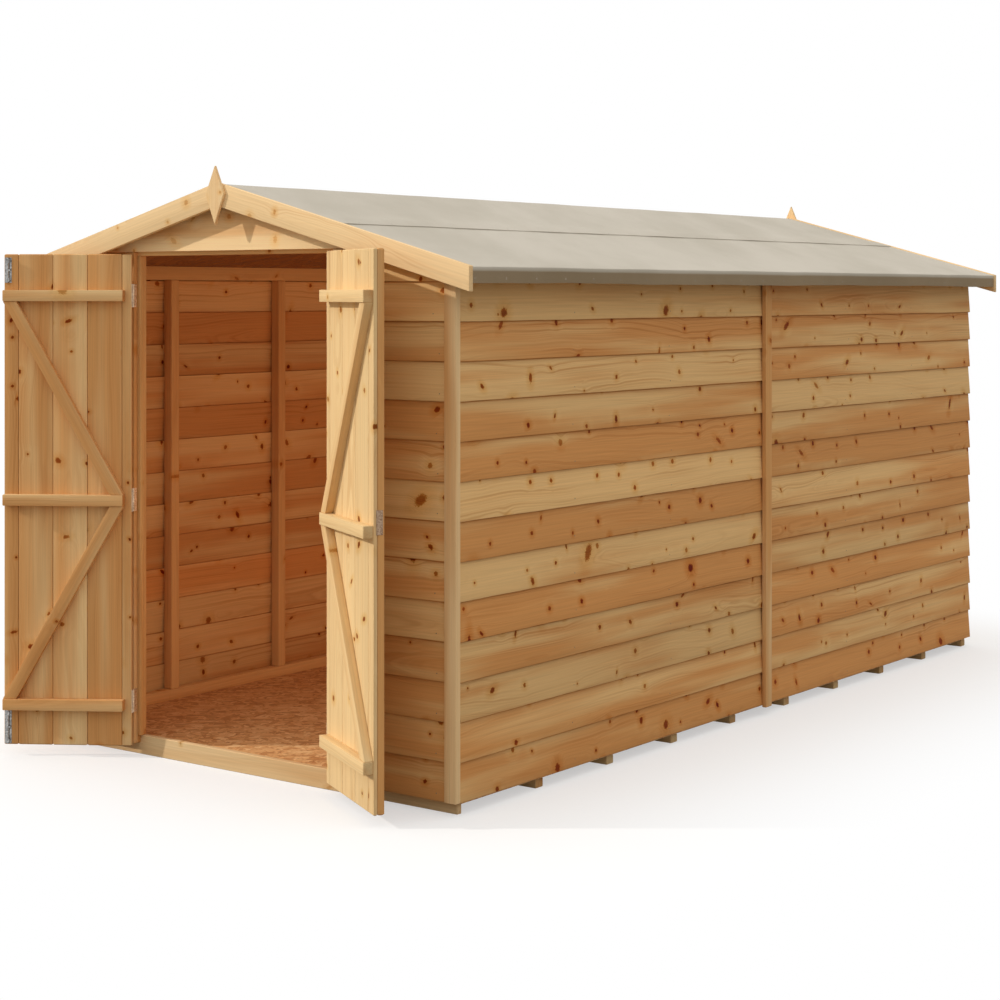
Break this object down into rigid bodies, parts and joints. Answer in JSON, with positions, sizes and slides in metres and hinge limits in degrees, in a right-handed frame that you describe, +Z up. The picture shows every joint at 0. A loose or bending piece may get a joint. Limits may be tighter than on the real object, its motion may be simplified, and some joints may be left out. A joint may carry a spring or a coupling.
{
  "type": "garden shed",
  "caption": "Overlap-clad timber garden shed with a felted apex roof, a sheet floor on bearers and a pair of ledged and braced doors that swing outwards.",
  "frame": {"origin": "ground level at the middle of the walls' plan, in the plane of the bearers' undersides", "axes": "+X to the right along the front, +Y from the doors to the rear wall, +Z up"},
  "size_m": [1.976, 3.9162, 1.8975],
  "materials": {
    "cladding": "honey-brown treated softwood boards with dark knots",
    "pale_trim": "pale planed softwood",
    "framing": "planed softwood framing",
    "door_wood": "matched softwood boards and ledges",
    "bearer_wood": "sawn softwood",
    "floor_sheet": "oriented strand sheet",
    "roof_sheet": "oriented strand sheet",
    "felt": "mineral-faced bitumen roofing felt",
    "zinc_steel": "zinc-plated pressed steel"
  },
  "bodies": {
    "shed": {"floor_bearers": "bearer_wood", "floor_sheets": "floor_sheet", "threshold": "pale_trim", "right_front_cladding": "cladding", "right_rear_cladding": "cladding", "right_wall_frames": "framing", "left_front_cladding": "cladding", "left_rear_cladding": "cladding", "left_wall_frames": "framing", "cover_strips": "cladding", "front_left_cladding": "cladding", "front_right_cladding": "cladding", "front_gable": "pale_trim", "front_left_frame": "framing", "front_right_frame": "framing", "door_header": "framing", "front_rafters": "framing", "door_stops": "pale_trim", "front_strips": "pale_trim", "rear_cladding": "cladding", "rear_frame": "framing", "rear_rafters": "framing", "rear_strips": "pale_trim", "mid_rafters": "framing", "roof_left_sheets": "roof_sheet", "roof_right_sheets": "roof_sheet", "eaves_battens": "bearer_wood", "felt_left": "felt", "felt_right": "felt", "felt_ridge": "felt", "front_barges": "pale_trim", "rear_barges": "pale_trim", "finials": "pale_trim", "hinge_frame_leaves": "zinc_steel"},
    "left_door": {"left_door_boards": "door_wood", "left_door_ledges": "door_wood", "left_door_braces": "door_wood", "left_door_hinges": "zinc_steel", "left_door_bolts": "zinc_steel"},
    "right_door": {"right_door_boards": "door_wood", "right_door_ledges": "door_wood", "right_door_braces": "door_wood", "right_door_hinges": "zinc_steel", "right_door_batten": "door_wood", "right_lock_plate": "zinc_steel"}
  },
  "joints": [
    {"name": "left_door_hinge", "type": "hinge", "parent": "shed", "child": "left_door", "pos_m": [-0.426, -1.794, 0.832], "axis": [0, 0, -1], "range_deg": [-147.24, 2.5]},
    {"name": "right_door_hinge", "type": "hinge", "parent": "shed", "child": "right_door", "pos_m": [0.426, -1.794, 0.832], "axis": [0, 0, 1], "range_deg": [-149.74, 0]}
  ]
}
